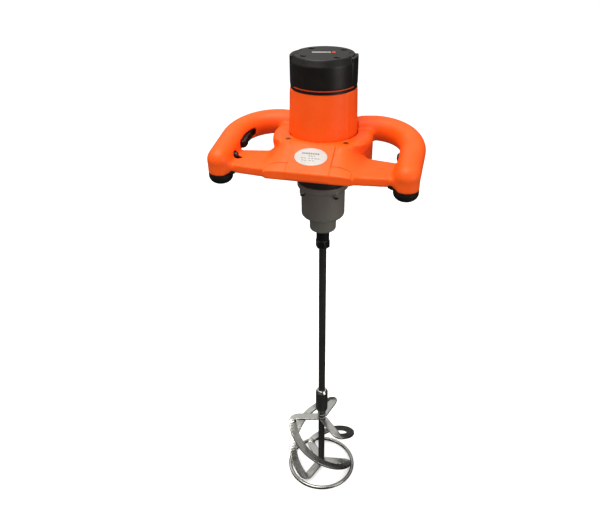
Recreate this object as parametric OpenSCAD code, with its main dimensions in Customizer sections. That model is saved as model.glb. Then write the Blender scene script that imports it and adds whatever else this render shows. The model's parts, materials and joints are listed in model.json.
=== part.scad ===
// Hand-held electric mortar mixer with a three-blade helical paddle.
// Units are millimetres. +Z is up, the label side faces -Y, +X is to the operator's right.
// The origin is on the spindle axis at the lowest plane of the bottom ring.

/* [Motor and cap] */
// Outer radius of the motor cap at its lower edge
cap_r = 51.5; // [48:0.5:54]
// Height of the cap's top plate
cap_top_z = 904; // [895:1:915]
// Height where the cap meets the motor housing
cap_low_z = 855; // [850:1:858]
// Outer radius of the motor housing at its base
housing_r = 53.5; // [52:0.5:55]
// Wall of the motor housing
housing_wall = 2.6; // [2:0.1:3]

/* [Frame] */
// Outer radius of the collar around the motor base
collar_r = 81; // [78:0.5:84]
// Height of the collar's top face
collar_top_z = 784; // [782:1:786]
// Underside of the collar
collar_low_z = 730; // [729:0.5:731]
// Radius of the handle tubes
grip_r = 19.9; // [18.9:0.2:20.3]
// Distance from the axis to a handle's centre line
grip_x = 145.2; // [144:0.2:148]
// Bend radius of the handle's rear corner
grip_bend = 68; // [66:1:70]
// Rise of the handles towards the rear, in degrees
grip_tilt = 10; // [9:0.5:10.5]
// Wall of the frame mouldings
wall = 3; // [2.6:0.1:3.4]
// Front face of the bar, distance from the axis
bar_front = 102; // [101:1:103]

/* [Drive] */
// Centre distance of both gear stages
gear_spacing = 19.25; // [19.25]
// Backlash taken off each tooth flank
backlash = 0.09; // [0.06:0.01:0.12]
// Outer radius of the dark gear case
case_r = 43.5; // [43:0.5:45]
// Outer radius of the grey gearbox
gearbox_r = 37; // [36.5:0.5:38]

/* [Paddle] */
// Radius of the paddle rod
rod_r = 6.8; // [6.2:0.1:7.2]
// Centre-line radius of the bottom ring
ring_r = 69.5; // [66:0.5:72]
// Wire radius of the bottom ring
ring_wire = 3.8; // [3.5:0.1:4.5]
// Width of the blade strip
blade_w = 16.6; // [14:0.5:19]
// Thickness of the blade strip
blade_t = 4.2; // [3.5:0.1:5]
// Turn of each blade around the rod, in degrees
blade_sweep = 175; // [160:1:180]

/* [Hidden] */
$fn = 64;
orange = [0.93, 0.36, 0.12];
black = [0.09, 0.09, 0.09];
steel = [0.62, 0.62, 0.60];
fit = 0.02;              // radial gap between a part and its seat
opening_gap = 0.1;       // radial gap around the motor housing and gear case

// ---------- shared shapes ----------
module disc(radius, low, high) translate([0, 0, low]) cylinder(r = radius, h = high - low);
module tube(outer, inner, low, high) difference() {
  disc(outer, low, high);
  disc(inner, low - 1, high + 1);
}
// Children repeated evenly around the axis
module ring_of(count, radius = 0, start = 0)
  for (i = [0:count-1]) rotate([0, 0, start + i * 360 / count]) translate([radius, 0, 0]) children();
// Children at the four corners of a square, half_side from the axis in X and Y
module square_of(half_side)
  for (x = [-1, 1], y = [-1, 1]) translate([x * half_side, y * half_side, 0]) children();
module both_sides() {
  children();
  mirror([1, 0, 0]) children();
}
// YZ profile extruded across the machine, centred on X = 0
module across(width)
  rotate([90, 0, 90]) translate([0, 0, -width / 2]) linear_extrude(height = width) children();
// Part of a disc to the right of its centre, clipped by a square whose lower edge is clip_y
module rounding(x, y, radius, clip_y, clip_size) intersection() {
  translate([x, y]) circle(r = radius);
  translate([x, clip_y]) square(clip_size);
}
// Socket-head screw with its shank down from z = 0
module screw(head_r, head_h, shank_r, shank_length) {
  difference() {
    cylinder(r = head_r, h = head_h);
    translate([0, 0, head_h - 1.6]) cylinder(r = head_r * 0.5, h = 2, $fn = 6);
  }
  translate([0, 0, -shank_length]) cylinder(r = shank_r, h = shank_length);
}
// Inner and outer race with a narrower ring between them
module bearing(outer, inner, low, high) {
  race = (outer - inner) * 0.32;
  tube(outer, outer - race, low, high);
  tube(inner + race, inner, low, high);
  tube(outer - race, inner + race, low + 0.6, high - 0.6);
}

// ---------- frame mouldings ----------
grip_front_y = -87.8;    // front ends of the handles' centre lines
grip_front_z = 756.3;
grip_length = 64;        // straight part of a handle
bend_x = grip_x - grip_bend; // centre of the rear bend
bend_screw_angle = 62;   // place of the rear grip screw on the bend
leg_z = 735;             // underside of the handles' front ends
parting = 0.4;           // parting plane, above the handles' centre line
collar_edge = 11;        // rounding of the collar's top edge
collar_screw_xy = 45.5;
collar_screw_z = collar_top_z - 3;
plug_r = 6;              // bumper plug
deck_slope = 0.543;      // rise per mm of the deck that carries the name plate
deck_tilt = atan(deck_slope);
deck_front = 110;        // distance of the deck's front edge from the axis
deck_front_z = 754.7;
deck_inset_z = 1.14;     // vertical drop of the deck for each mm of inset
plate_half_x = 25.5;
plate_half_y = 17;
cord_z = 757;

function deck_z(y) = deck_front_z + (y + deck_front) * deck_slope;

// Handle frame: Y runs along the straight grips
module tilted() translate([0, grip_front_y, grip_front_z]) rotate([grip_tilt, 0, 0]) children();
module left_grip() tilted() translate([-grip_x, 0, 0]) children();
module cord_line(y) translate([0, y, cord_z]) rotate([-90, 0, 0]) children();

// Right handle: straight grip, rear bend into the collar, front end turned down
module handle(inset) {
  radius = grip_r - inset;
  tilted() {
    translate([grip_x, 0, 0]) rotate([-90, 0, 0]) rotate_extrude() {
      square([radius, grip_length]);
      intersection() {
        circle(r = radius);
        translate([0, -radius - 1]) square([radius + 1, radius + 2]);
      }
    }
    translate([bend_x, grip_length, 0]) rotate_extrude(angle = inset > 0 ? 106 : 130)
      translate([grip_bend, 0]) circle(r = radius);
  }
  translate([grip_x, grip_front_y, leg_z + inset])
    cylinder(r = radius - 0.6, h = grip_front_z - leg_z - inset - 1);
}
// Block that cuts the front of the drum down to the deck's slope
module slope_cut(inset) intersection() {
  translate([-100, -deck_front, deck_front_z - inset * deck_inset_z]) rotate([deck_tilt, 0, 0])
    translate([0, -20, 0]) cube([200, 130, 60]);
  translate([0, 0, 700]) linear_extrude(height = 120)
    polygon([[-54 - inset, -125], [54 + inset, -125], [36 + inset, -50], [-36 - inset, -50]]);
}
// Collar drum with a rounded top edge
module drum(inset) {
  radius = collar_r - inset;
  edge = collar_edge - inset;
  flat_r = radius - edge;
  top = collar_top_z - inset;
  low = collar_low_z + inset;
  difference() {
    rotate_extrude() {
      polygon([[0, low], [radius, low], [radius, top - edge], [flat_r, top - edge],
        [flat_r, top], [0, top]]);
      rounding(flat_r, top - edge, edge, top - edge, edge + 1);
    }
    slope_cut(inset);
  }
}
// Front bar between the handles with the sloping deck that rises to the collar
module bar(inset) {
  end_x = grip_x - 4;
  rear_y = -45 - inset;
  mid_rear_y = -34.5 - inset;
  end_front_y = -94.5 + inset;
  front_y = -bar_front + inset;
  difference() {
    translate([0, 0, 739 + inset]) linear_extrude(height = 21 - 2 * inset) polygon([
      [end_x, rear_y], [76, mid_rear_y], [-76, mid_rear_y], [-end_x, rear_y],
      [-end_x, end_front_y], [-70, front_y], [70, front_y], [end_x, end_front_y]]);
    translate([-200, -bar_front, 753 - inset]) rotate([4, 0, 0])
      translate([0, -5, 0]) cube([400, 90, 30]);
  }
  drop = inset * deck_inset_z;
  intersection() {
    translate([0, 0, 741 + inset]) linear_extrude(height = 60) polygon([
      [-73 + inset, -100], [-68.5 + inset, -deck_front + inset],
      [68.5 - inset, -deck_front + inset], [73 - inset, -100],
      [53 - inset, -52], [-53 + inset, -52]]);
    across(164) polygon([[-deck_front, 700], [-deck_front, deck_front_z - drop],
      [-57, deck_z(-57) - drop], [-52, deck_z(-57) - drop], [-52, 700]]);
  }
}
module frame_body(inset) {
  union() {
    drum(inset);
    bar(inset);
  }
  both_sides() handle(inset);
}
module frame_shell() difference() {
  frame_body(0);
  frame_body(wall);
}
// Two screws in each handle: one in the straight grip, one in the rear bend
module grip_spots() both_sides() tilted() {
  translate([grip_x, 31, 0]) children();
  translate([bend_x + grip_bend * cos(bend_screw_angle),
    grip_length + grip_bend * sin(bend_screw_angle), 0]) children();
}
// Space on either side of the plane where the two mouldings part
module parting_block(low) tilted() translate([-250, -150, low]) cube([500, 450, 100]);
module above() parting_block(parting);
module below() parting_block(parting - 100);
module openings() {
  disc(housing_r + opening_gap, 746, 830);
  disc(55.6, collar_top_z, 830);
  disc(case_r + opening_gap, 700, 747);
  // trigger and lock button windows in the left handle, dial window in the right handle
  tilted() {
    translate([-grip_x + 8, 46, -8.2]) cube([22, 48.4, 12.4]);
    translate([-grip_x + 14.5, 19, -2]) rotate([0, 90, 0]) cylinder(r = 5.2, h = 15);
    translate([grip_x - 29, 36, -4.2]) cube([22, 26, 8.4]);
  }
  // cord entry at the rear of the collar, bumper plugs
  cord_line(60) cylinder(r = 7.05, h = 40);
  both_sides() translate([grip_x, grip_front_y, 725]) cylinder(r = plug_r + 0.05, h = 20);
}
module upper_frame() color(orange) difference() {
  union() {
    intersection() {
      frame_shell();
      above();
    }
    intersection() {
      square_of(collar_screw_xy) disc(7, 750, 782);
      above();
      drum(1);
    }
    intersection() {
      both_sides() handle(1);
      grip_spots() translate([0, 0, parting]) cylinder(r = 5, h = 20);
    }
  }
  openings();
  square_of(collar_screw_xy) {
    disc(5.2, collar_screw_z, 820);
    disc(2.3, 700, 800);
  }
  grip_spots() translate([0, 0, -1]) cylinder(r = 1.95, h = 13);
}
module lower_frame() color(orange) difference() {
  union() {
    intersection() {
      frame_shell();
      below();
    }
    intersection() {
      square_of(collar_screw_xy) disc(7, 732, 790);
      below();
    }
    intersection() {
      both_sides() handle(1);
      grip_spots() translate([0, 0, -20]) cylinder(r = 5, h = 20 + parting);
    }
  }
  openings();
  square_of(collar_screw_xy) {
    disc(5.2, collar_screw_z, 820);
    disc(2.05, 742, 800);
  }
  grip_spots() {
    translate([0, 0, -21.5]) cylinder(r = 3.7, h = 6);
    translate([0, 0, -21]) cylinder(r = 2.2, h = 23);
  }
}
// Oval lying on the raised tongue of the front cover
module plate_oval(grow, height) {
  plate_y = -83;
  translate([0, plate_y, deck_z(plate_y)]) rotate([deck_tilt, 0, 0]) translate([0, 0, 1.8])
    linear_extrude(height = height) polygon([for (i = [0:71])
      [(plate_half_x + grow) * cos(i * 5), (plate_half_y + grow) * sin(i * 5)]]);
}
// Moulded cover on the bar: side lips and the raised centre tongue under the name plate
module front_cover() color(orange) difference() {
  union() {
    across(132) polygon([[-deck_front, 741], [-111.6, 743], [-111.6, 755.66],
      [-97.76, 763.17], [-97, deck_z(-97)], [-deck_front, deck_front_z]]);
    across(66) polygon([[-deck_front, 741], [-112.6, 744.5], [-112.6, 755.2],
      [-111.8, 756.65], [-61.24, 784.13], [-60, deck_z(-60)], [-deck_front, deck_front_z]]);
  }
  plate_oval(0.1, 3);
  disc(54, 740, 800);
}
module name_plate() color([0.82, 0.82, 0.80]) plate_oval(0, 1.1);
module collar_screws() color(steel)
  square_of(collar_screw_xy) translate([0, 0, collar_screw_z]) screw(4.2, 2.4, 2, 36);
module grip_screws() color(steel)
  grip_spots() translate([0, 0, -15.5]) mirror([0, 0, 1]) screw(3.5, 2.4, 1.9, 24);
// Foot under a handle's front end, with a plug that enters it
module bumper() {
  low = 718.5;
  edge = 13;
  flat_r = 6.2;
  color(black) translate([grip_x, grip_front_y, 0]) rotate_extrude() {
    polygon([[0, low], [flat_r, low], [flat_r, low + edge], [flat_r + edge, low + edge],
      [flat_r + edge, leg_z], [plug_r, leg_z], [plug_r, leg_z + 6], [0, leg_z + 6]]);
    rounding(flat_r, low + edge, edge, low - 1, edge + 1);
  }
}
module left_bumper() mirror([1, 0, 0]) bumper();
module right_bumper() bumper();

// ---------- controls ----------
module trigger() {
  low = -7.8;
  height = 11.6;
  color(black) left_grip() difference() {
    union() {
      translate([7, 50, low]) cube([15, 40, height]);
      translate([12, 50, low]) cylinder(r = 3.6, h = height);
      for (y = [56, 84]) translate([20, y, low]) cylinder(r = 5, h = height);
      translate([20, 56, low]) cube([5, 28, height]);
    }
    translate([33.5, 70, -9]) cylinder(r = 10, h = 14);
    translate([12, 50, -9]) cylinder(r = 1.55, h = 14);
  }
}
module lock_button() color(black) left_grip() translate([0, 19, -2]) rotate([0, 90, 0]) {
  translate([0, 0, 7]) cylinder(r = 5.1, h = 15.5);
  translate([0, 0, 10.5]) cylinder(r = 6.6, h = 2.5);
}
module switch_body() color([0.16, 0.16, 0.17]) left_grip() difference() {
  translate([-11, 43, -9]) cube([12, 33, 18]);
  for (y = [49, 62]) translate([-12, y, -6]) cube([2, 6, 4]);
}
module dial_spot() tilted() translate([grip_x - 9, 49, 0]) children();
module speed_dial() color(black) dial_spot() difference() {
  translate([0, 0, -4]) cylinder(r = 13, h = 8);
  translate([0, 0, -5]) cylinder(r = 2.05, h = 10);
  ring_of(24, 13.4) translate([0, 0, -5]) cylinder(r = 0.9, h = 10);
}
module speed_module() color([0.13, 0.30, 0.16]) dial_spot() {
  translate([0, -11, -13]) cube([17, 22, 8.6]);
  translate([-3, -4, -10]) cube([7, 8, 5.6]);
  translate([0, 0, -5]) cylinder(r = 2, h = 8.5);
}
// Profile points are [radius, distance behind the axis]
module cord_boot() color(black) cord_line(0) rotate_extrude() polygon([
  [4.05, 73.5], [9.4, 73.5], [9.4, 77], [7, 77], [7, 81.1], [8.5, 81.1], [8.5, 84],
  [7.2, 85], [7.2, 87], [8, 88], [6.6, 90], [7.4, 92], [6, 94], [6.6, 96],
  [5.2, 99], [4.05, 99]]);
module supply_cord() color(black) cord_line(62) cylinder(r = 4, h = 50.6);

// ---------- motor and cap ----------
case_top_z = 738;        // top of the gear case, where the motor housing stands
housing_bend_z = 786;    // the housing tapers above this height
housing_top_r = 51;
band_top_z = cap_low_z + 4;
gasket_top_z = band_top_z + 1.6;
cap_screw_xy = 25.5;
cap_screw_z = 899;
band_screw_circle = 43.5;
motor_bearing_r = 11;
upper_bearing_z = 842;
bearing_h = 7;
shaft_r = 5;             // armature shaft

module band_screw_spots() ring_of(4, band_screw_circle, 45) children();
module motor_housing() color(orange) difference() {
  base_bore = housing_r - housing_wall;
  union() {
    rotate_extrude() polygon([[base_bore, case_top_z], [housing_r, case_top_z],
      [housing_r, housing_bend_z], [housing_top_r, cap_low_z],
      [housing_top_r - housing_wall, cap_low_z], [base_bore, housing_bend_z]]);
    // four ribs, 17 wide
    for (angle = [-26, -154, 26, 154]) rotate([0, 0, angle]) rotate([90, 0, 0])
      translate([0, 0, -8.5]) linear_extrude(height = 17)
        polygon([[50.4, 784.3], [54.4, 784.3], [52, cap_low_z], [50.4, cap_low_z]]);
    disc(49.6, 840, 850);
  }
  disc(motor_bearing_r + fit, upper_bearing_z, 851);
  disc(8, 838, 843);
  ring_of(4, 29) disc(9, 838, 852);
  square_of(cap_screw_xy) disc(2.1, 838, 852);
  band_screw_spots() disc(2.1, 838, 852);
}
module top_cap() color(black) difference() {
  union() {
    difference() {
      union() {
        rotate_extrude() polygon([[0, gasket_top_z], [cap_r, gasket_top_z], [50.8, 893.6],
          [46.8, 902.6], [46, cap_top_z], [0, cap_top_z]]);
        // widening wedges on the left and right
        ring_of(2) intersection() {
          disc(52, gasket_top_z, 901.8);
          translate([0, 0, gasket_top_z]) linear_extrude(height = 50)
            polygon([[37, -14], [60, -22.8], [60, 22.8], [37, 14]]);
        }
      }
      rotate_extrude()
        polygon([[0, 859], [48.8, 859], [48.2, 892.4], [44.9, 899.8], [0, 900.8]]);
    }
    square_of(cap_screw_xy) disc(6.5, 862, 902);
  }
  square_of(cap_screw_xy) {
    disc(4.8, cap_screw_z, 910);
    disc(2.1, 855, 905);
  }
  // vents through the top's left and right edges
  ring_of(2) for (i = [-2:2]) rotate([0, 0, i * 9])
    translate([38, -1.6, 892]) cube([11, 3.2, 14]);
}
module cap_gasket() color(orange) tube(50.9, 47.5, band_top_z, gasket_top_z);
module cap_band() color(black) difference() {
  union() {
    tube(cap_r, 46.5, cap_low_z, band_top_z);
    band_screw_spots() disc(5.2, cap_low_z, band_top_z);
  }
  band_screw_spots() disc(2.1, cap_low_z - 5, band_top_z + 3);
}
module cap_screws() color(steel) {
  square_of(cap_screw_xy) translate([0, 0, cap_screw_z]) screw(4, 2.6, 2.05, 56);
  band_screw_spots() translate([0, 0, band_top_z]) {
    cylinder(r = 3.2, h = 1.5);
    translate([0, 0, -18]) cylinder(r = 2.05, h = 18.1);
  }
}
module field_core() color([0.35, 0.35, 0.37]) difference() {
  disc(49.6, 772, 816);
  disc(28, 770, 820);
  ring_of(2) translate([32, -22, 770]) cube([9, 44, 50]);
}
module field_coils() color([0.72, 0.36, 0.14]) ring_of(2) difference() {
  translate([32.2, -21.8, 766]) cube([8.6, 43.6, 56]);
  translate([30, -14, 773]) cube([14, 28, 42]);
}
module armature_core() color([0.45, 0.45, 0.47]) difference() {
  disc(27.5, 773, 815);
  disc(shaft_r + fit, 770, 820);
  ring_of(14, 26.5) disc(1.8, 770, 820);
}
module armature_shaft() color(steel) {
  disc(shaft_r, 744, 838);
  disc(3.95, 729, 850);
  gear(pinion_teeth, first_module, pinion_shift, 711, 729.1, 90);
}
module commutator() color([0.75, 0.45, 0.2]) difference() {
  disc(13, 820, 836);
  disc(shaft_r + fit, 818, 838);
  ring_of(16, 13) translate([-1, -0.3, 819]) cube([2, 0.6, 20]);
}
module cooling_fan() color([0.2, 0.2, 0.2]) {
  tube(44, shaft_r + fit, 750, 752.5);
  tube(9, shaft_r + fit, 752.5, 762);
  ring_of(14, 16) translate([0, -0.8, 752.4]) cube([27, 1.6, 9]);
}
module motor_bearing(low) color(steel) bearing(motor_bearing_r, 4, low, low + bearing_h);
module upper_bearing() motor_bearing(upper_bearing_z);
module lower_bearing() motor_bearing(case_top_z - bearing_h);
module brush_holders() color([0.7, 0.55, 0.25]) ring_of(2) difference() {
  translate([18, -5, 822]) cube([30.8, 10, 12]);
  translate([17, -3.1, 824.9]) cube([24, 6.2, 6.2]);
}
module carbon_brushes() color([0.12, 0.12, 0.12])
  ring_of(2) translate([13.1, -3, 825]) cube([17, 6, 6]);

// ---------- gears ----------
pressure_angle = 20;
pinion_teeth = 9;        // on the armature shaft and on the idler shaft
idler_teeth = 46;
output_teeth = 35;
pinion_shift = 0.5;      // profile shift; the wheels take the opposite shift
first_module = 2 * gear_spacing / (pinion_teeth + idler_teeth);
second_module = 2 * gear_spacing / (pinion_teeth + output_teeth);

function polar(radius, angle) = radius * [cos(angle), sin(angle)];
function involute(angle) = tan(angle) * 180 / PI - angle;
// Half the angle a tooth spans at a radius
function half_angle(teeth, size, shift, radius) =
  (90 + 2 * shift * tan(pressure_angle) * 180 / PI) / teeth + involute(pressure_angle)
  - involute(acos(min(1, size * teeth / 2 * cos(pressure_angle) / radius)))
  - backlash / radius * 180 / PI;
// Involute gear of module `size` between two heights, first tooth at angle `start`
module gear(teeth, size, shift, low, high, start) {
  tip_r = size * (teeth / 2 + 0.8 + shift);
  root_r = size * (teeth / 2 - 1.25 + shift);
  base_r = max(root_r + 0.02, size * teeth / 2 * cos(pressure_angle));
  // [radius, half angle] from root to tip
  flank = concat([[root_r, half_angle(teeth, size, shift, base_r)]],
    [for (i = [0:3]) let (radius = base_r + (tip_r - base_r) * i / 3)
      [radius, half_angle(teeth, size, shift, radius)]]);
  outline = [for (tooth = [0:teeth-1]) let (centre = start + tooth * 360 / teeth)
    each concat([for (i = [0:4]) polar(flank[i][0], centre - flank[i][1])],
      [for (i = [4:-1:0]) polar(flank[i][0], centre + flank[i][1])])];
  translate([0, 0, low]) linear_extrude(height = high - low) polygon(outline);
}

// ---------- gearbox ----------
idler_r = 4;
idler_bearing_r = 6;
spindle_r = 10;
spindle_top_r = 8.5;
top_bearing_r = 17.5;    // spindle bearings
low_bearing_r = 16;
seal_r = 15;
chamber_r = 38;          // gear chamber
gearbox_top_z = 690;

module on_idler() translate([0, gear_spacing, 0]) children();
module bolt_spots() ring_of(4, 40.7, 45) children();
module idler_shaft() color(steel) on_idler() {
  disc(3.95, 680, 690.5);
  disc(3.2, 690.4, 712);
  disc(idler_r, 711, 736);
  gear(pinion_teeth, second_module, pinion_shift, 692, 709, -90);
}
module idler_gear() color(steel) on_idler() difference() {
  gear(idler_teeth, first_module, -pinion_shift, 714, 724, -90 + 180 / idler_teeth);
  disc(idler_r + fit, 700, 740);
  ring_of(6, 9.5) disc(2.4, 700, 740);
}
module idler_bearings() color(steel) on_idler() {
  bearing(idler_bearing_r, idler_r + fit, 681, 689);
  bearing(idler_bearing_r, idler_r + fit, 729.5, 735.5);
}
module output_gear() color(steel) difference() {
  gear(output_teeth, second_module, -pinion_shift, 694, 706, 90 + 180 / output_teeth);
  disc(spindle_top_r + fit, 690, 710);
}
module gear_case() color([0.13, 0.13, 0.13]) difference() {
  union() {
    disc(case_r, 699.03, 733);
    disc(56, 733, case_top_z);
  }
  disc(chamber_r, 689, 729);
  disc(motor_bearing_r + fit, case_top_z - bearing_h, case_top_z + 1);
  disc(6.5, 728, 732);
  on_idler() disc(idler_bearing_r + fit, 728, 736.5);
  bolt_spots() disc(2.05, 689, 706);
}
module gearbox_housing() color([0.40, 0.385, 0.35]) difference() {
  edge = 6;
  flat_r = gearbox_r - edge;
  union() {
    rotate_extrude() {
      polygon([[0, 607], [20, 607], [20, 610], [23, 610], [23.4, 631], [27, 634],
        [flat_r, 634], [flat_r, 640], [gearbox_r, 640], [gearbox_r, gearbox_top_z],
        [0, gearbox_top_z]]);
      rounding(flat_r, 640, edge, 633, 8);
      rounding(20, 610, 3, 606, 4);
    }
    bolt_spots() disc(4.6, 683, gearbox_top_z);
    // flange that flares out to the gear case
    rotate_extrude() polygon([[36, 684], [gearbox_r, 684], [case_r, 690.5], [case_r, 699],
      [chamber_r, 699], [chamber_r, 689.5], [36, 689.5]]);
  }
  bolt_spots() disc(2.05, 682, 700);
  disc(11, 670, 691);
  disc(top_bearing_r + fit, 662, 674);
  disc(14, 620, 663);
  disc(low_bearing_r + fit, 611.5, 623);
  disc(seal_r + fit, 606, 612);
  on_idler() disc(idler_bearing_r + fit, 679, 691);
  bolt_spots() disc(2.1, 680, 691);
}
module gearbox_bolts() color([0.2, 0.2, 0.2])
  bolt_spots() translate([0, 0, 683]) mirror([0, 0, 1]) screw(3.6, 3.4, 2, 22);
module spindle() color([0.14, 0.14, 0.14]) difference() {
  union() {
    disc(spindle_top_r, 680, 709);
    disc(spindle_r, 606, 690);
    disc(11.5, 585, 606.5);
  }
  disc(rod_r + fit, 580, 604.5);
  disc(3, 600, 690);
}
module spindle_bearings() color(steel) {
  bearing(top_bearing_r, spindle_r + fit, 662.5, 673.5);
  bearing(low_bearing_r, spindle_r + fit, 612, 622.5);
}
module spindle_seal() color(black) tube(seal_r, spindle_r + 0.06, 607.2, 611.2);
module lock_nut() color([0.2, 0.2, 0.2]) difference() {
  intersection() {
    translate([0, 0, 570]) cylinder(r = 12.8, h = 15, $fn = 6);
    rotate_extrude()
      polygon([[0, 569], [11, 569], [13.2, 571.2], [13.2, 583], [11, 585], [0, 585]]);
  }
  disc(rod_r + fit, 560, 590);
}

// ---------- paddle ----------
blade_top_z = 147;       // centre line of the upper arm
blade_low_z = 9.8;       // centre line of the lower arm
blade_root_r = rod_r + 0.15;
blade_top_r = 63.5;
blade_low_r = 60.5;
helix_from = 0.15;       // the helix's share of the blade path, which runs from 0 to 1
helix_to = 0.80;
blade_start = 194.3;     // angle of the first blade's upper arm

module paddle_rod() color([0.17, 0.17, 0.16]) rotate_extrude()
  polygon([[0, 1.2], [5, 1.2], [rod_r, 2.7], [rod_r, 602.5], [5, 604], [0, 604]]);
module paddle_sleeve() color([0.3, 0.3, 0.29]) difference() {
  rotate_extrude() polygon([[0, 158], [7.6, 158], [8.4, 164], [10.6, 170], [12.5, 175],
    [12.5, 221], [9.2, 227], [0, 227]]);
  disc(rod_r + fit, 150, 230);
}
// Blade path as [radius, angle, z]: radial arm, helix, radial arm back to the rod
function station(s) =
  s < helix_from ?
    [blade_root_r + (blade_top_r - blade_root_r) * s / helix_from, 0, blade_top_z] :
  s < helix_to ? let (turn = (s - helix_from) / (helix_to - helix_from))
    [blade_top_r + (blade_low_r - blade_top_r) * max(0, turn - 0.7) / 0.3,
      blade_sweep * turn, blade_top_z + (blade_low_z - blade_top_z) * turn] :
  [blade_low_r + (blade_root_r - blade_low_r) * (s - helix_to) / (1 - helix_to),
    blade_sweep, blade_low_z];
function xyz(s) = let (at = station(s)) [at[0] * cos(at[1]), at[0] * sin(at[1]), at[2]];
// Path smoothed by the mean of nine neighbouring points
function path(s) = let (step = min(0.009, min(s, 1 - s) / 4))
  [for (k = [-4:4]) 1] * [for (k = [-4:4]) xyz(s + k * step)] / 9;
function unit(vector) = vector / norm(vector);
// Rectangular strip swept along the path
module blade(start) {
  steps = 64;
  corners = [for (i = [0:steps]) let (
      s = i / steps,
      along = unit(path(min(1, s + 0.002)) - path(max(0, s - 0.002))),
      normal = unit([0, 0, 1] - along[2] * along),
      side = cross(along, normal) * blade_w / 2,
      up = normal * blade_t / 2)
    each [for (sign = [[-1, -1], [1, -1], [1, 1], [-1, 1]])
      path(s) + sign[0] * side + sign[1] * up]];
  last = 4 * steps;
  color(steel) rotate([0, 0, start]) polyhedron(points = corners,
    faces = concat([[0, 1, 2, 3]], [[last + 3, last + 2, last + 1, last]],
      [for (i = [0:steps-1], k = [0:3]) let (a = 4 * i + k, b = 4 * i + (k + 1) % 4)
        each [[a, a + 4, b], [b, a + 4, b + 4]]]), convexity = 6);
}
module blade_1() blade(blade_start);
module blade_2() blade(blade_start - 120);
module blade_3() blade(blade_start + 120);
module bottom_ring() color(steel)
  rotate_extrude($fn = 96) translate([ring_r, ring_wire]) circle(r = ring_wire);

upper_frame();
lower_frame();
front_cover();
name_plate();
collar_screws();
grip_screws();
left_bumper();
right_bumper();
trigger();
lock_button();
switch_body();
speed_dial();
speed_module();
cord_boot();
supply_cord();
motor_housing();
top_cap();
cap_gasket();
cap_band();
cap_screws();
field_core();
field_coils();
armature_core();
armature_shaft();
commutator();
cooling_fan();
upper_bearing();
lower_bearing();
brush_holders();
carbon_brushes();
gear_case();
gearbox_housing();
gearbox_bolts();
idler_shaft();
idler_gear();
idler_bearings();
output_gear();
spindle();
spindle_bearings();
spindle_seal();
lock_nut();
paddle_rod();
paddle_sleeve();
blade_1();
blade_2();
blade_3();
bottom_ring();
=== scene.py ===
"""Hand-held electric paddle mixer, standing upright on the ring of its paddle.

Metres, +Z up. The rod and motor share the Z axis, the frame's bars end at -X (left) and
+X (right), and the front cover and camera are on the -Y side.
"""
import bpy, bmesh, math, random, json
import numpy as np
from mathutils import Vector, Matrix

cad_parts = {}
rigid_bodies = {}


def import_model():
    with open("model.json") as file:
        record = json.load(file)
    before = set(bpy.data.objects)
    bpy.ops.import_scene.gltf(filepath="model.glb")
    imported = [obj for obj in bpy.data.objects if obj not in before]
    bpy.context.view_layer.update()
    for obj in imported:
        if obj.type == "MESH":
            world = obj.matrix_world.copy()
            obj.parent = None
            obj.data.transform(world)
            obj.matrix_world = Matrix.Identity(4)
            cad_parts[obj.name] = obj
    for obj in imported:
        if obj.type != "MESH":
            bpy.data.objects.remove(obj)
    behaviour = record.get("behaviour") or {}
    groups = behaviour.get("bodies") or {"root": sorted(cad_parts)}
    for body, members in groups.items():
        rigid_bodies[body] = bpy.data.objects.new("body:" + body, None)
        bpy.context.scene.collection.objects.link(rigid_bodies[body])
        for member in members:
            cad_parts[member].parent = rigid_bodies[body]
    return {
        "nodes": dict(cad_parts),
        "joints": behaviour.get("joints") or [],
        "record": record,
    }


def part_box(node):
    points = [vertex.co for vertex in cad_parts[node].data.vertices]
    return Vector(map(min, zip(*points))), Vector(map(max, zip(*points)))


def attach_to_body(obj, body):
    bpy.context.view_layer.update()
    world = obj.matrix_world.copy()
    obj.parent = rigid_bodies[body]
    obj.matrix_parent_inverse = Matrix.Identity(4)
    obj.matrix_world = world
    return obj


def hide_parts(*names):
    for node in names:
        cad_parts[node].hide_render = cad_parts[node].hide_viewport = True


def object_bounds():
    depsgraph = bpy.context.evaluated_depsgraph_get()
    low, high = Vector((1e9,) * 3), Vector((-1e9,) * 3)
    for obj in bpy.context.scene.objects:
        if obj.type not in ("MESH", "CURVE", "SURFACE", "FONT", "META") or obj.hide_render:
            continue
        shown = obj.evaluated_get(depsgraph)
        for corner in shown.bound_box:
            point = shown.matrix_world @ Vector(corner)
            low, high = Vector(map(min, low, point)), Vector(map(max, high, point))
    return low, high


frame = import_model()
CAD_BOX = [list(v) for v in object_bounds()]
NODES = frame["nodes"]
SLOTS = {part["node"]: part["material_slot"] for part in frame["record"]["subparts"]}
BODIES = {node: body for body, nodes in frame["record"]["behaviour"]["bodies"].items()
          for node in nodes}
BLADES = ("blade_1", "blade_2", "blade_3")
random.seed(7)


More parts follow.
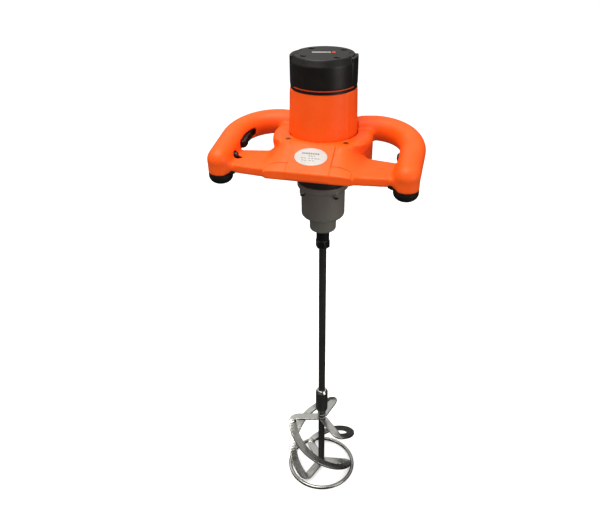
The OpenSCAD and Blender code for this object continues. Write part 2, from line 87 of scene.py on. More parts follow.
# ---------------------------------------------------------------- shader graphs
class Graph:
    """Builder for one node tree."""

    def __init__(self, tree):
        self.tree = tree
        tree.nodes.clear()

    def node(self, kind, inputs=None, **settings):
        """A new node; each input is a socket to link or a value to set."""
        node = self.tree.nodes.new("ShaderNode" + kind)
        for key, value in settings.items():
            setattr(node, key, value)
        for key, value in (inputs or {}).items():
            self.feed(node.inputs[key], value)
        return node

    def feed(self, socket, value):
        if isinstance(value, bpy.types.NodeSocket):
            self.tree.links.new(value, socket)
        elif socket.type == "RGBA":
            socket.default_value = (*value, 1)
        else:
            socket.default_value = value

    def math(self, operation, *values):
        return self.node("Math", dict(enumerate(values)), operation=operation).outputs[0]

    def grey_ramp(self, source, stops):
        """stops: (position, grey value)"""
        ramp = self.node("ValToRGB", {0: source})
        elements = ramp.color_ramp.elements
        while len(elements) < len(stops):
            elements.new(0.5)
        for element, (position, grey) in zip(elements, stops):
            element.position = position
            element.color = (grey, grey, grey, 1)
        return ramp.outputs[0]


class Material(Graph):
    """Builder for one procedural material in object coordinates."""

    SOCKETS = {"color": "Base Color", "rough": "Roughness", "metal": "Metallic",
               "spec": "Specular IOR Level", "emit": "Emission Color",
               "emit_strength": "Emission Strength"}

    def __init__(self, name):
        self.material = bpy.data.materials.new(name)
        self.material.use_nodes = True
        super().__init__(self.material.node_tree)
        self.surface = self.node("BsdfPrincipled")
        self.node("OutputMaterial", {0: self.surface.outputs[0]})
        self.coordinates = self.node("TexCoord").outputs["Object"]

    def mapped(self, **inputs):
        return self.node("Mapping", {"Vector": self.coordinates, **inputs}).outputs[0]

    def noise(self, scale, detail=4.0, rough=0.55, stretch=(1, 1, 1), turn=(0, 0, 0), offset=0.0):
        place = self.mapped(Scale=stretch, Rotation=turn,
                            Location=(offset, offset * 0.7, offset * 1.3))
        return self.node("TexNoise", {"Vector": place, "Scale": scale, "Detail": detail,
                                      "Roughness": rough}).outputs["Fac"]

    def cells(self, scale):
        place = self.mapped()
        return self.node("TexVoronoi", {"Vector": place, "Scale": scale}).outputs["Distance"]

    def ramp(self, source, low, high, start=0.0, end=1.0):
        """Maps low..high to start..end."""
        return self.node("MapRange", {"Value": source, "From Min": low, "From Max": high,
                                      "To Min": start, "To Max": end}).outputs["Result"]

    def mix(self, factor, first, second):
        # sockets 0, 6 and 7 and output 2 are the node's factor and its colours
        return self.node("Mix", {0: factor, 6: first, 7: second}, data_type="RGBA").outputs[2]

    def edges(self):
        """1 on convex and concave edges, 0 on flats."""
        bevel = self.node("Bevel", {"Radius": 0.0012}, samples=4).outputs[0]
        normal = self.node("NewGeometry").outputs["Normal"]
        facing = self.node("VectorMath", {0: bevel, 1: normal}, operation="DOT_PRODUCT")
        bend = self.math("SUBTRACT", 1.0, facing.outputs["Value"])
        return self.ramp(bend, low=0.02, high=0.25)

    def bump(self, *layers, bevel=0.0):
        """layers: (height socket, strength, distance); bevel: radius of rounded edges"""
        normal = self.node("Bevel", {"Radius": bevel}, samples=6).outputs[0] if bevel else None
        for height, strength, distance in layers:
            inputs = {"Height": height, "Strength": strength, "Distance": distance}
            if normal is not None:
                inputs["Normal"] = normal
            normal = self.node("Bump", inputs).outputs[0]
        self.feed(self.surface.inputs["Normal"], normal)

    def finish(self, **values):
        for key, value in values.items():
            self.feed(self.surface.inputs[self.SOCKETS[key]], value)
        return self.material


def plastic(name, color, dark, light, rough, grain=1.0, dust=0.04, spec=0.4):
    """Moulded plastic: dark patches, light dust and scuffs, and a fine grain."""
    m = Material(name)
    base = m.mix(m.ramp(m.noise(scale=9, detail=3), low=0.35, high=0.65), dark, color)
    specks = m.ramp(m.noise(scale=55, detail=6, rough=0.65, offset=3.0), low=0.5, high=0.78)
    base = m.mix(m.math("MULTIPLY", specks, dust * 4), base, light)
    streaks = m.noise(scale=38, detail=7, rough=0.75, stretch=(1, 5, 1), turn=(0.3, 0.2, 0.6),
                      offset=7.0)
    scuffs = m.ramp(streaks, low=0.6, high=0.72)
    base = m.mix(m.math("MULTIPLY", scuffs, dust * 2), base, light)
    gloss = m.ramp(m.noise(scale=26, detail=5), low=0.3, high=0.7,
                   start=rough - 0.05, end=rough + 0.07)
    gloss = m.math("ADD", gloss, m.math("MULTIPLY", scuffs, 0.1))
    m.bump((m.noise(scale=2300, detail=2), 0.10 * grain, 0.0004),
           (m.cells(scale=1500), 0.07 * grain, 0.0003),
           (m.noise(scale=30, detail=3), 0.05, 0.002))
    return m.finish(color=base, rough=gloss, spec=spec)


def steel(name, color, dark, rough, metal=1.0, brush=(1, 1, 14), brush_scale=500,
          edge_color=None, edge_wear=0.0, patch=0.4, cast=0.0, bevel=0.0):
    """Metal with dark patches, brushing or a cast skin, and edges worn to edge_color."""
    m = Material(name)
    brushing = m.noise(scale=brush_scale, detail=3, rough=0.6, stretch=brush)
    patches = m.ramp(m.noise(scale=34, detail=6, rough=0.62), low=0.36, high=0.66, end=patch)
    base = m.mix(patches, color, dark)
    base = m.mix(m.ramp(brushing, low=0.3, high=0.75, end=0.22), base, dark)
    if edge_color:
        chips = m.ramp(m.noise(scale=120, detail=5, rough=0.7, offset=2.0), low=0.35, high=0.6,
                       start=0.25)
        worn = m.math("MULTIPLY", m.edges(), chips)
        base = m.mix(m.math("MULTIPLY", worn, edge_wear), base, edge_color)
    gloss = m.ramp(m.noise(scale=60, detail=5, offset=4.0), low=0.3, high=0.7,
                   start=rough - 0.07, end=rough + 0.09)
    gloss = m.math("ADD", gloss, m.ramp(brushing, low=0.3, high=0.7, start=-0.03, end=0.03))
    if cast:
        layers = [(m.noise(scale=620, detail=4, rough=0.6), 0.35 * cast, 0.0006),
                  (m.noise(scale=90, detail=3), 0.2 * cast, 0.0010)]
    else:
        layers = [(brushing, 0.12, 0.0004)]
    m.bump(*layers, bevel=bevel)
    return m.finish(color=base, rough=gloss, metal=metal)


MATERIALS = dict(
    orange_plastic=plastic(
        "orange_moulded", color=(0.90, 0.098, 0.0052), dark=(0.86, 0.088, 0.0044),
        light=(0.95, 0.30, 0.12), rough=0.42, dust=0.015, spec=0.22),
    orange_gap=plastic(
        "orange_gap", color=(0.75, 0.06, 0.008), dark=(0.6, 0.05, 0.006),
        light=(0.9, 0.2, 0.08), rough=0.45, grain=0.5, dust=0.03),
    black_plastic=plastic(
        "black_moulded", color=(0.0080, 0.0074, 0.0068), dark=(0.0055, 0.0052, 0.005),
        light=(0.06, 0.06, 0.06), rough=0.40, grain=1.5, dust=0.02, spec=0.34),
    rubber=plastic(
        "black_rubber", color=(0.007, 0.007, 0.007), dark=(0.005, 0.005, 0.005),
        light=(0.07, 0.07, 0.068), rough=0.60, grain=2.2, spec=0.25),
    plate=steel(
        "satin_plate", color=(0.40, 0.388, 0.375), dark=(0.35, 0.34, 0.328), rough=0.42,
        metal=0.15, brush=(1, 22, 1), brush_scale=900, patch=0.25),
    zinc_steel=steel(
        "zinc_steel", color=(0.55, 0.55, 0.52), dark=(0.36, 0.36, 0.34), rough=0.30),
    core_steel=steel(
        "core_steel", color=(0.28, 0.28, 0.29), dark=(0.16, 0.16, 0.17), rough=0.42,
        brush=(1, 1, 60)),
    copper=steel("copper", color=(0.72, 0.33, 0.14), dark=(0.45, 0.18, 0.07), rough=0.32),
    carbon=plastic(
        "carbon", color=(0.03, 0.03, 0.03), dark=(0.02, 0.02, 0.02), light=(0.1, 0.1, 0.1),
        rough=0.6),
    board=plastic(
        "board", color=(0.03, 0.12, 0.04), dark=(0.02, 0.08, 0.03), light=(0.2, 0.3, 0.2),
        rough=0.45),
    black_metal=steel(
        "blackened_steel", color=(0.036, 0.036, 0.034), dark=(0.024, 0.024, 0.022), rough=0.38,
        metal=0.35, brush=(1, 1, 0.25), brush_scale=700, edge_color=(0.30, 0.30, 0.28),
        edge_wear=0.5, patch=0.6, bevel=0.0004),
    grey_casting=steel(
        "grey_casting", color=(0.178, 0.168, 0.146), dark=(0.140, 0.132, 0.114), rough=0.44,
        metal=0.2, edge_color=(0.34, 0.33, 0.30), edge_wear=0.35, patch=0.6, cast=1.0),
    blade_steel=steel(
        "blade_steel", color=(0.44, 0.44, 0.415), dark=(0.33, 0.33, 0.31), rough=0.26,
        brush=(1.2, 1.2, 1), brush_scale=900, edge_color=(0.85, 0.85, 0.83), edge_wear=0.4,
        patch=0.35),
    spindle_black=steel(
        "black_oxide", color=(0.0085, 0.0085, 0.008), dark=(0.005, 0.005, 0.005), rough=0.42,
        metal=0.2, brush=(1, 1, 10), brush_scale=900, edge_color=(0.40, 0.40, 0.38),
        edge_wear=0.7, patch=0.5, bevel=0.0003),
    # painted shade: dark orange-brown screw heads stand in for the shade at the bottom of their
    # recesses
    painted_recess_shade=steel(
        "bronzed_screw", color=(0.30, 0.065, 0.018), dark=(0.18, 0.04, 0.012), rough=0.45,
        metal=0.5, patch=0.3),
    machined=steel(
        "machined_steel", color=(0.72, 0.72, 0.70), dark=(0.45, 0.45, 0.43), rough=0.22,
        brush=(1, 1, 30), brush_scale=900, patch=0.25),
    weld=steel(
        "weld_metal", color=(0.42, 0.42, 0.40), dark=(0.12, 0.12, 0.11), rough=0.28,
        brush=(1, 1, 1), brush_scale=420, cast=0.7),
    # painted shade: a dark orange used only for the thin rim around each deck lip, standing in
    # for the shade of a groove
    orange_seam=plastic(
        "orange_seam", color=(0.42, 0.030, 0.002), dark=(0.34, 0.022, 0.002),
        light=(0.6, 0.1, 0.03), rough=0.6, grain=0.5, dust=0.01, spec=0.1),
    mark=plastic(
        "mark_grey", color=(0.20, 0.20, 0.22), dark=(0.15, 0.15, 0.17), light=(0.4, 0.4, 0.4),
        rough=0.5, grain=0.3, dust=0.02),
    inlay=plastic(
        "inlay_pale", color=(0.36, 0.35, 0.32), dark=(0.30, 0.29, 0.27), light=(0.5, 0.5, 0.5),
        rough=0.45, grain=0.3, dust=0.02),
)

# CAD nodes whose material differs from their slot's
# the collar screws get a dark orange-brown that paints the shade of their recesses
SPECIAL = {"cap_gasket": "orange_gap", "collar_screws": "painted_recess_shade",
           **dict.fromkeys(("spindle", "lock_nut", "gearbox_bolts", "grip_screws", "cap_screws"),
                           "spindle_black")}

for name, ob in NODES.items():
    material = MATERIALS[SLOTS[name]]
    if len(ob.material_slots):
        for slot in ob.material_slots:
            slot.material = material
    else:
        ob.data.materials.append(material)
for name, key in SPECIAL.items():
    for slot in NODES[name].material_slots:
        slot.material = MATERIALS[key]


# ---------------------------------------------------------------- mesh helpers
def new_object(name, mesh):
    ob = bpy.data.objects.new(name, mesh)
    bpy.context.scene.collection.objects.link(ob)
    return ob


def paint(ob, material):
    ob.data.materials.clear()
    ob.data.materials.append(material)


def attach(ob, material, body, replaced=()):
    """Paints ob, parents it to its body and hides the CAD nodes it stands in for."""
    paint(ob, MATERIALS[material])
    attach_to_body(ob, body)
    if replaced:
        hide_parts(*replaced)
    return ob


def to_mesh(bm, name):
    mesh = bpy.data.meshes.new(name)
    bm.to_mesh(mesh)
    bm.free()
    return mesh


def welded(node):
    """The CAD node as a bmesh with its coincident vertices joined."""
    bm = bmesh.new()
    bm.from_mesh(NODES[node].data)
    bmesh.ops.remove_doubles(bm, verts=bm.verts, dist=2e-6)
    return bm


def get_points(mesh):
    points = np.empty(len(mesh.vertices) * 3)
    mesh.vertices.foreach_get("co", points)
    return points.reshape(-1, 3)


def set_points(mesh, points):
    mesh.vertices.foreach_set("co", points.ravel())
    mesh.update()


def bake(ob):
    """Makes the result of ob's modifiers its mesh."""
    depsgraph = bpy.context.evaluated_depsgraph_get()
    mesh = bpy.data.meshes.new_from_object(ob.evaluated_get(depsgraph))
    ob.modifiers.clear()
    old = ob.data
    ob.data = mesh
    bpy.data.meshes.remove(old)


def soften(mesh, name, voxel, rounds, extra=None):
    """Remeshes at the voxel size and relaxes the points; extra(points) weights 50 more rounds."""
    ob = new_object(name, mesh)
    remesh = ob.modifiers.new("r", "REMESH")
    remesh.mode = "VOXEL"
    remesh.voxel_size = voxel
    remesh.adaptivity = 0
    bake(ob)
    mesh = ob.data
    points = get_points(mesh)
    ends = np.empty(len(mesh.edges) * 2, np.int32)
    mesh.edges.foreach_get("vertices", ends)
    ends = ends.reshape(-1, 2)
    first, second = ends[:, 0], ends[:, 1]
    count = len(points)
    neighbours = np.maximum(np.bincount(ends.ravel(), minlength=count), 1)[:, None]

    def pull(p):
        """From each point to the mean of its neighbours."""
        total = np.zeros_like(p)
        for k in range(3):
            total[:, k] = (np.bincount(first, p[second, k], count)
                           + np.bincount(second, p[first, k], count))
        return total / neighbours - p

    for _ in range(rounds):
        points = points + 0.6 * pull(points)
    if extra is not None:
        weight = extra(points)[:, None]
        for _ in range(50):
            points = points + 0.6 * weight * pull(points)
    set_points(mesh, points)
    mesh.polygons.foreach_set("use_smooth", np.ones(len(mesh.polygons), bool))
    mesh.update()
    return ob


def moulded(node, voxel, rounds):
    """A softened copy of a CAD node, with its edges rounded."""
    ob = soften(to_mesh(welded(node), "soft_" + node), "soft_" + node, voxel, rounds)
    return attach(ob, SLOTS[node], BODIES[node], replaced=(node,))


def unit(values):
    return np.clip(values, 0, 1)


def step(value, start, run):
    """0 at start, rising to 1 at start + run; a negative run goes the other way."""
    return unit((value - start) / run)


def band(value, centre, half):
    """1 at centre, falling to 0 at half to either side."""
    return unit(1 - np.abs(value - centre) / half)


# ---------------------------------------------------------------- frame shoulders
SWEEP_BASE_Z = 0.744     # nothing below this is moved
SHOULDER_X = 0.082       # outer end of the blend from deck to bar
SHOULDER_RUN = 0.040
FRAME_VOXEL = 0.0013
PLANES_PER_M = 2e4       # faces are sorted into planes 0.05 mm apart


def deck_z(y):
    return 0.7547 + (y + 0.110) * 0.543


def bar_z(y):
    return 0.7552 + (y + 0.070) * 0.07


def deck_rise(y):
    return np.maximum(deck_z(y) - bar_z(y), 0)


def shoulder(x):
    """Share of the deck's rise left at x: 0 on the bar, 1 on the deck."""
    t = step(x, start=SHOULDER_X, run=-SHOULDER_RUN)
    return t * t * (3 - 2 * t)


def sweep_frame(points):
    """The shoulders of the deck sweep down into the bars instead of ending in a wall."""
    x, y, z = np.abs(points[:, 0]), points[:, 1], points[:, 2]
    deck, bar = deck_z(y), bar_z(y)
    wall = 0.053 + step(y, start=-0.052, run=-0.048) * 0.020
    goal = bar + shoulder(x) * deck_rise(y)
    top = np.where(x < wall + 0.0004, deck, bar)
    shift = (goal - top) * step(z, start=SWEEP_BASE_Z, run=top - SWEEP_BASE_Z)
    on_wall = (np.abs(x - wall) < 0.0022) & (z > bar - 0.001)
    shift = np.where(on_wall, goal - z, shift)
    off_collar = step(np.hypot(x, y), start=0.0785, run=0.0035)
    inside = (x > 0.040) & (x < 0.0835) & (y < -0.030) & (y > -0.1125) & (z > SWEEP_BASE_Z)
    points[:, 2] = z + np.where(inside, shift * off_collar, 0)


def extra_smoothing(points):
    """Weights of the bar's ends, the rear of the collar and the swept shoulders."""
    x, y, z = np.abs(points[:, 0]), points[:, 1], points[:, 2]
    bar_ends = band(x, centre=0.126, half=0.009) * step(y, start=-0.045, run=-0.01)
    collar = band(np.hypot(points[:, 0], y), centre=0.081, half=0.012)
    collar *= step(y, start=-0.01, run=0.01)
    swept = step(x, start=0.040, run=0.006) * step(x, start=0.092, run=-0.006)
    swept *= step(y, start=-0.040, run=-0.008)
    swept *= step(y, start=-0.0965, run=0.005) * step(z, start=0.750, run=0.003)
    return np.maximum(np.maximum(unit(bar_ends * 1.6), unit(collar * 0.8)), unit(swept) * 0.75)


def open_half(node, axis):
    """A frame half without its parting face, and that face's place along the axis."""
    bm = welded(node)
    bm.normal_update()
    across = [(face, face.calc_center_median().dot(axis) * PLANES_PER_M)
              for face in bm.faces if abs(face.normal.dot(axis)) > 0.9995]
    areas = {}
    for face, place in across:
        areas[round(place)] = areas.get(round(place), 0) + face.calc_area()
    parting = max(areas, key=areas.get)
    faces = [face for face, place in across if abs(place - parting) < 2]
    bmesh.ops.delete(bm, geom=faces, context="FACES")
    return to_mesh(bm, "frame_half"), parting / PLANES_PER_M


def cut_seam_ledge(points, axis, seam):
    """Sets the collar's rim back below the seam."""
    radius = np.hypot(points[:, 0], points[:, 1])
    below = step(points @ np.array(axis), start=seam, run=-0.0006)
    on_rim = step(radius, start=0.0772, run=0.0015) * step(radius, start=0.0835, run=-0.001)
    on_rim *= step(points[:, 1], start=-0.055, run=0.004)
    ledge = 0.0014
    points[:, :2] *= (1 - below * on_rim * ledge / np.maximum(radius, 1e-3))[:, None]


def frame_shell():
    """The two frame mouldings as one soft shell, with the seam left as a ledge on the collar."""
    joint = next(j for j in frame["joints"] if j["name"] == "trigger_press")
    axis = Vector(joint["axis"]).normalized()
    upper, seam = open_half("upper_frame", axis)
    lower, _ = open_half("lower_frame", axis)
    both = bmesh.new()
    both.from_mesh(upper)
    both.from_mesh(lower)
    core = soften(to_mesh(both, "frame_shell"), "frame_core", FRAME_VOXEL, rounds=4)
    points = get_points(core.data)
    sweep_frame(points)
    set_points(core.data, points)
    mesh = core.data.copy()
    bpy.data.objects.remove(core)

    ob = soften(mesh, "frame_shell", FRAME_VOXEL, rounds=3, extra=extra_smoothing)
    points = get_points(ob.data)
    cut_seam_ledge(points, axis, seam)
    set_points(ob.data, points)
    attach(ob, "orange_plastic", "frame",
           replaced=("upper_frame", "lower_frame"))


def front_cover():
    """The cover follows the swept shoulders."""
    ob = moulded("front_cover", voxel=0.0008, rounds=3)
    points = get_points(ob.data)
    x, y, z = np.abs(points[:, 0]), points[:, 1], points[:, 2]
    drop = (1 - shoulder(x)) * deck_rise(y)
    drop *= step(z, start=SWEEP_BASE_Z, run=deck_z(y) - SWEEP_BASE_Z)
    points[:, 2] = z - np.where(x > 0.036, drop, 0)
    set_points(ob.data, points)


LIP_REAR_Y = -0.0950
LIP_DEPTH = 0.0040
LIP_INNER_X = 0.0330
LIP_OUTER_X = 0.0610     # at the rear edge
LIP_CORNER = 0.0045      # the front edge reaches this much further out
LIP_THICKNESS = 0.0038


def deck_lip(side, grow, rise, name, material):
    """Low raised pad on the front shoulder of the deck, with a cut corner."""
    bm = bmesh.new()
    columns, lines = 16, 11
    rows = []
    for j in range(lines):
        y = LIP_REAR_Y + grow - (LIP_DEPTH + grow) * j / (lines - 1)
        outer = LIP_OUTER_X + LIP_CORNER * step(y, start=LIP_REAR_Y, run=-LIP_DEPTH) + grow
        row = []
        for i in range(columns):
            x = LIP_INNER_X - grow + (outer - LIP_INNER_X + grow) * i / (columns - 1)
            z = bar_z(y) + shoulder(x) * deck_rise(y) + rise
            row.append(bm.verts.new((side * x, y, z)))
        rows.append(row)
    for near, far in zip(rows, rows[1:]):
        for i in range(columns - 1):
            bm.faces.new((near[i], near[i + 1], far[i + 1], far[i]))
    extruded = bmesh.ops.extrude_face_region(bm, geom=bm.faces[:])["geom"]
    for item in extruded:
        if isinstance(item, bmesh.types.BMVert):
            item.co.z -= LIP_THICKNESS
    bmesh.ops.recalc_face_normals(bm, faces=bm.faces[:])
    name += "_left" if side < 0 else "_right"
    ob = soften(to_mesh(bm, "lip"), name, voxel=0.0004, rounds=2)
    attach(ob, material, "frame")


frame_shell()
front_cover()
for side in (-1, 1):
    deck_lip(side, grow=0.0, rise=0.0007, name="deck_lip", material="orange_plastic")
    # a slightly larger dark orange copy under each lip shows as a thin rim: painted shade
    # standing in for a groove
    deck_lip(side, grow=0.0013, rise=0.0005, name="deck_lip_seam", material="orange_seam")

# ---------------------------------------------------------------- other soft parts
# node, voxel size, smoothing rounds
SOFT_PARTS = (
    ("motor_housing", 0.0011, 5),
    ("top_cap", 0.0008, 4),
    ("gearbox_housing", 0.0010, 5),
    ("gear_case", 0.0010, 4),
    *((blade, 0.0007, 6) for blade in BLADES),
    ("paddle_sleeve", 0.0006, 4),
    ("name_plate", 0.0004, 4),
    ("trigger", 0.0006, 4),
    ("speed_dial", 0.0006, 3),
)
soft = {node: moulded(node, voxel, rounds) for node, voxel, rounds in SOFT_PARTS}

# the top of the sleeve is bare machined metal
SLEEVE_BARE = 0.0075
sleeve_low, sleeve_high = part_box("paddle_sleeve")
sleeve = soft["paddle_sleeve"].data
sleeve.materials.append(MATERIALS["machined"])
for face in sleeve.polygons:
    if face.center.z > sleeve_high.z - SLEEVE_BARE:
        face.material_index = 1

# ---------------------------------------------------------------- weld beads
rod_low, rod_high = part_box("paddle_rod")
ROD_RADIUS = (rod_high.x - rod_low.x) / 2
ring_low, ring_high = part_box("bottom_ring")
RING_RADIUS = (ring_high.x - ring_low.x) / 2 - (ring_high.z - ring_low.z) / 2
WELD_STANDOFF = 0.0006   # of a blob's centre from the rod
ARM_WELD_LENGTH = 0.0145
RING_WELD_ANGLE = 0.20


def weld_bead(name, blobs):
    """One irregular bead from overlapping blobs: (centre, radius, height factor)."""
    bm = bmesh.new()
    for centre, radius, flat in blobs:
        place = Matrix.Translation(centre) @ Matrix.Diagonal((1, 1, flat, 1))
        bmesh.ops.create_icosphere(bm, subdivisions=2, radius=radius, matrix=place)
    ob = soften(to_mesh(bm, name), name, voxel=0.00045, rounds=2)
    attach(ob, "weld", "output")


def arc_blobs(angles, reach, z, drift, radius, spread, flat):
    """Blobs around the Z axis; drift: range of height error in 0.1 mm; spread: of size."""
    return [(Vector((math.cos(angle) * reach, math.sin(angle) * reach,
                     z + random.uniform(*drift) * 1e-4)),
             radius * random.uniform(*spread), flat) for angle in angles]


def arm_blobs(end, points):
    """Two lines of blobs, above and below where the blade's arm meets the rod."""
    middle = points.mean(0)
    angle = math.atan2(middle[1], middle[0])
    outward = Vector((math.cos(angle), math.sin(angle), 0))
    along = Vector((-math.sin(angle), math.cos(angle), 0))
    blobs = []
    for side in (-1, 1):
        for i in range(9):
            k = (i / 8 - 0.5) * ARM_WELD_LENGTH
            reach = math.sqrt(max(ROD_RADIUS ** 2 - min(k * k, ROD_RADIUS ** 2 * 0.92), 1e-7))
            centre = (outward * (reach + WELD_STANDOFF) + along * k
                      + Vector((0, 0, middle[2] + side * 0.0024)))
            # no bead between the lowest arms and the floor
            if end == "foot" and side < 0 and centre.z < 0.0035:
                continue
            blobs.append((centre, 0.00135 * random.uniform(0.8, 1.25), random.uniform(0.7, 1.0)))
    return blobs


def blade_welds(blade):
    points = get_points(NODES[blade].data)
    radius, z = np.hypot(points[:, 0], points[:, 1]), points[:, 2]
    middle_z = (z.max() + z.min()) / 2
    at_rod = radius < ROD_RADIUS + 0.010
    for end, half in (("top", z > middle_z), ("foot", z < middle_z)):
        weld_bead(f"weld_{end}_{blade}", arm_blobs(end, points[at_rod & half]))
    low = points[z < 0.022]
    low_radius = np.hypot(low[:, 0], low[:, 1])
    contact = low[low_radius > low_radius.max() - 0.0022].mean(0)
    angle = math.atan2(contact[1], contact[0])
    angles = [angle + (i / 10 - 0.5) * RING_WELD_ANGLE for i in range(11)]
    weld_bead(f"weld_ring_{blade}", arc_blobs(
        angles, reach=RING_RADIUS - 0.0009, z=ring_high.z - 0.0002, drift=(-3, 4),
        radius=0.0017, spread=(0.85, 1.25), flat=0.8))


for blade in BLADES:
    blade_welds(blade)
weld_bead("weld_sleeve", arc_blobs(
    [i / 26 * 2 * math.pi for i in range(26)], reach=ROD_RADIUS + WELD_STANDOFF,
    z=sleeve_low.z - 0.0004, drift=(-4, 4), radius=0.0015, spread=(0.8, 1.3), flat=0.9))

# ---------------------------------------------------------------- foot stops
STOP_BASE_Z = 0.7352
STOP_HEIGHT = 0.0075
STOP_REACH = 0.0075      # inward from the bumper
STOP_OVERLAP = 0.0015    # into the bumper
STOP_TAPER = 0.0035      # rise of the underside at the inner end


def foot_stop(side, bumper):
    """Black block on the inner side of a bumper, its underside rising inward."""
    low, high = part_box(bumper)
    inner_x = (high.x + low.x) / 2 - side * (high.x - low.x) / 2
    middle_y = (high.y + low.y) / 2
    x0, x1 = sorted((inner_x + side * STOP_OVERLAP, inner_x - side * STOP_REACH))
    y0, y1 = middle_y - 0.0085, middle_y + 0.006
    z0, z1 = STOP_BASE_Z, STOP_BASE_Z + STOP_HEIGHT
    place = (Matrix.Translation(((x0 + x1) / 2, (y0 + y1) / 2, (z0 + z1) / 2))
             @ Matrix.Diagonal((x1 - x0, y1 - y0, z1 - z0, 1)))
    bm = bmesh.new()
    bmesh.ops.create_cube(bm, size=1, matrix=place)
    bmesh.ops.subdivide_edges(bm, edges=bm.edges[:], cuts=3, use_grid_fill=True)
    for vert in bm.verts:
        inward = (vert.co.x - inner_x) / (-side * STOP_REACH)
        if vert.co.z < STOP_BASE_Z + 0.001:
            vert.co.z += STOP_TAPER * max(0, inward) ** 1.5
    name = "foot_stop_left" if side < 0 else "foot_stop_right"
    attach(soften(to_mesh(bm, "stop"), name, voxel=0.0005, rounds=4), "rubber", "frame")


foot_stop(-1, "left_bumper")
foot_stop(1, "right_bumper")

# ---------------------------------------------------------------- plate marks and cap inlay
MARK_LIFT = 0.00005      # of a block's centre above the surface
# place up the plate, height, places across the plate, greatest width
MARK_ROWS = (
    (0.0060, 0.0030, (-0.0135, -0.0105, -0.0070, -0.0035, 0.0, 0.0035, 0.0070, 0.0105), 0.0028),
    (0.0014, 0.0014, (-0.0025, 0.0015, 0.0055), 0.0032),
    (-0.0030, 0.0012, (-0.0130, -0.0085, -0.0020, 0.0030, 0.0080, 0.0125), 0.0036),
    (-0.0074, 0.0012, (-0.0115, -0.0070, 0.0000, 0.0050), 0.0034),
)


def blocks(name, axes, items, material):
    """Small rounded blocks along the three axes, in one mesh: (centre, (x, y, z size))."""
    turn = Matrix(axes).transposed().to_4x4()
    bm = bmesh.new()
    for centre, size in items:
        place = Matrix.Translation(centre) @ turn @ Matrix.Diagonal((*size, 1))
        bmesh.ops.create_cube(bm, size=1, matrix=place)
    ob = new_object(name, to_mesh(bm, name))
    bevel = ob.modifiers.new("b", "BEVEL")
    bevel.width = min(min(size) for _, size in items) * 0.3
    bevel.segments = 2
    bake(ob)
    attach(ob, material, "frame")


def plate_marks():
    """Rows of plain marks on the plate's largest upward face."""
    plate = NODES["name_plate"].data
    upward = [face for face in plate.polygons if face.normal.z > 0.4]
    normal = max(upward, key=lambda face: face.area).normal.copy()
    top = (get_points(plate) @ np.array(normal)).max()
    low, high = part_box("name_plate")
    centre = (low + high) / 2
    centre += normal * (top - centre.dot(normal))
    across = Vector((1, 0, 0))
    upright = normal.cross(across).normalized()
    items = [(centre + across * x + upright * y + normal * MARK_LIFT,
              (width * random.uniform(0.75, 1.0), height, 0.0003))
             for y, height, places, width in MARK_ROWS for x in places]
    blocks("plate_marks", (across, upright, normal), items, "mark")


def cap_inlay():
    """Plain pale strip on top of the cap, with an orange end."""
    axes = (Vector((0.981, 0.196, 0)), Vector((-0.196, 0.981, 0)), Vector((0, 0, 1)))
    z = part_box("top_cap")[1].z + MARK_LIFT
    width = 0.0060
    blocks("cap_inlay", axes, [(Vector((-0.0043, 0.0021, z)), (0.0285, width, 0.0004))],
           "inlay")
    blocks("cap_inlay_end", axes, [(Vector((0.0139, 0.0058, z)), (0.0050, width, 0.0005))],
           "orange_gap")


plate_marks()
cap_inlay()

# the bright band below the cap shows only between the cap's side pillars
gasket = NODES["cap_gasket"].data
gasket.materials.append(MATERIALS["black_plastic"])
for face in gasket.polygons:
    angle = math.degrees(math.atan2(face.center.y, face.center.x))
    if abs((angle + 77 + 90) % 180 - 90) > 62:
        face.material_index = len(gasket.materials) - 1


# ---------------------------------------------------------------- stage and lights
def floor():
    """Pale floor just below the paddle, lit partly by its own glow."""
    bm = bmesh.new()
    half = 40
    corners = ((-half, -half), (half, -half), (half, half), (-half, half))
    bm.faces.new([bm.verts.new((x, y, 0)) for x, y in corners])
    ob = new_object("floor", to_mesh(bm, "floor"))
    ob.location.z = CAD_BOX[0][2] - 0.0002
    m = Material("floor_pale")
    base = m.mix(m.ramp(m.noise(scale=1.4, detail=3), low=0.3, high=0.7),
                 (0.86, 0.86, 0.855), (0.89, 0.89, 0.885))
    m.bump((m.noise(scale=240, detail=3), 0.02, 0.0005))
    paint(ob, m.finish(color=base, rough=0.75, spec=0.1, emit=(1.0, 1.0, 1.0),
                       emit_strength=0.40))
    ob.visible_glossy = False
    ob.visible_diffuse = False


def area_light(name, place, size, power, target=(0, 0, 0.65), color=(1, 1, 1)):
    light = bpy.data.lights.new(name, "AREA")
    light.shape = "RECTANGLE"
    light.size, light.size_y = size
    light.energy = power
    light.color = color
    ob = new_object(name, light)
    ob.location = place
    aim = Vector(target) - Vector(place)
    ob.rotation_euler = aim.to_track_quat("-Z", "Y").to_euler()
    return ob


floor()
area_light("key", place=(-0.45, -0.6, 2.9), size=(1.8, 1.8), power=68, color=(1.0, 0.955, 0.88))
left = area_light("left", place=(-1.5, 0.25, 0.45), size=(0.5, 0.9), power=1.6,
                  target=(0, 0, 0.12))
# the left light reaches only the metal of the paddle
lower_metal = bpy.data.collections.new("lower_metal")
for ob in bpy.data.objects:
    if ob.type == "MESH" and any(word in ob.name for word in ("blade", "ring", "weld")):
        lower_metal.objects.link(ob)
left.light_linking.receiver_collection = lower_metal
area_light("right", place=(1.9, -0.9, 1.0), size=(0.9, 1.4), power=14, color=(1.0, 0.97, 0.92))


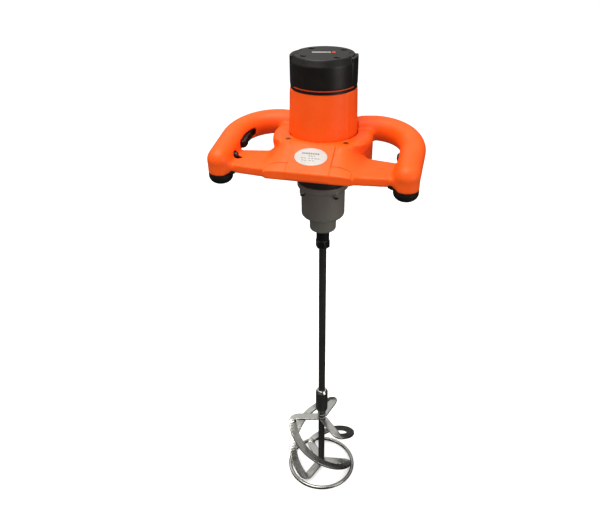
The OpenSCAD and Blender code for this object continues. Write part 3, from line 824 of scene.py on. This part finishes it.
def build_world():
    world = bpy.data.worlds.new("studio")
    bpy.context.scene.world = world
    world.use_nodes = True
    sky = Graph(world.node_tree)
    generated = sky.node("TexCoord").outputs["Generated"]
    x, y, z = sky.node("SeparateXYZ", {0: generated}).outputs
    # soft dome for diffuse light
    dome = sky.grey_ramp(z, [(0.0, 0.50), (0.3, 0.52), (0.8, 1.0)])
    dome = sky.node("Background", {"Color": dome, "Strength": 0.84})
    # what shiny surfaces see: brighter above, to the left (-X) and behind (+Y)
    side = sky.grey_ramp(sky.math("MULTIPLY_ADD", x, 0.5, 0.5),
                         [(0.0, 1.0), (0.40, 0.80), (0.62, 0.42), (1.0, 0.55)])
    height = sky.grey_ramp(z, [(0.0, 0.05), (0.2, 0.16), (0.46, 0.78), (0.85, 1.25)])
    depth = sky.grey_ramp(sky.math("MULTIPLY_ADD", y, 0.5, 0.5),
                          [(0.0, 0.38), (0.35, 0.50), (0.62, 1.0), (1.0, 1.15)])
    mirrored = sky.math("MULTIPLY", sky.math("MULTIPLY", side, depth), height)
    mirrored = sky.node("Background", {"Color": mirrored, "Strength": 1.15})
    # the camera sees plain white
    white = sky.node("Background", {"Color": (1, 1, 1)})
    rays = sky.node("LightPath").outputs
    light = sky.node("MixShader", {0: rays["Is Glossy Ray"], 1: dome.outputs[0],
                                   2: mirrored.outputs[0]})
    seen = sky.node("MixShader", {0: rays["Is Camera Ray"], 1: light.outputs[0],
                                  2: white.outputs[0]})
    sky.node("OutputWorld", {0: seen.outputs[0]})


build_world()

# ---------------------------------------------------------------- camera
CAMERA_ORBIT = math.radians(12.9)     # about Z, from the front toward +X
CAMERA_YAW = math.radians(2.4946)     # turn away from the Z axis
CAMERA_PITCH = math.radians(31.92)    # downward
CAMERA_ROLL = math.radians(-0.942)
CAMERA_DISTANCE = 0.9443              # from the Z axis
CAMERA_Z = 1.1168


def build_camera():
    heading = CAMERA_ORBIT + CAMERA_YAW
    forward = Vector((-math.sin(heading) * math.cos(CAMERA_PITCH),
                      math.cos(heading) * math.cos(CAMERA_PITCH), -math.sin(CAMERA_PITCH)))
    level = Vector((math.cos(heading), math.sin(heading), 0))
    upright = level.cross(forward)
    right = level * math.cos(CAMERA_ROLL) + upright * math.sin(CAMERA_ROLL)
    up = -level * math.sin(CAMERA_ROLL) + upright * math.cos(CAMERA_ROLL)
    pose = Matrix((right, up, -forward)).transposed().to_4x4()
    pose.translation = Vector((CAMERA_DISTANCE * math.sin(CAMERA_ORBIT),
                               -CAMERA_DISTANCE * math.cos(CAMERA_ORBIT), CAMERA_Z))
    camera = bpy.data.cameras.new("camera")
    camera.sensor_width = 36
    camera.lens = 36.669
    camera.clip_start, camera.clip_end = 0.02, 200
    ob = bpy.data.objects.new("camera", camera)
    ob.matrix_world = pose
    bpy.context.scene.collection.objects.link(ob)
    bpy.context.scene.camera = ob


build_camera()
view = bpy.context.scene.view_settings
view.view_transform = "Standard"
view.look = "None"
view.exposure = 0
view.gamma = 1
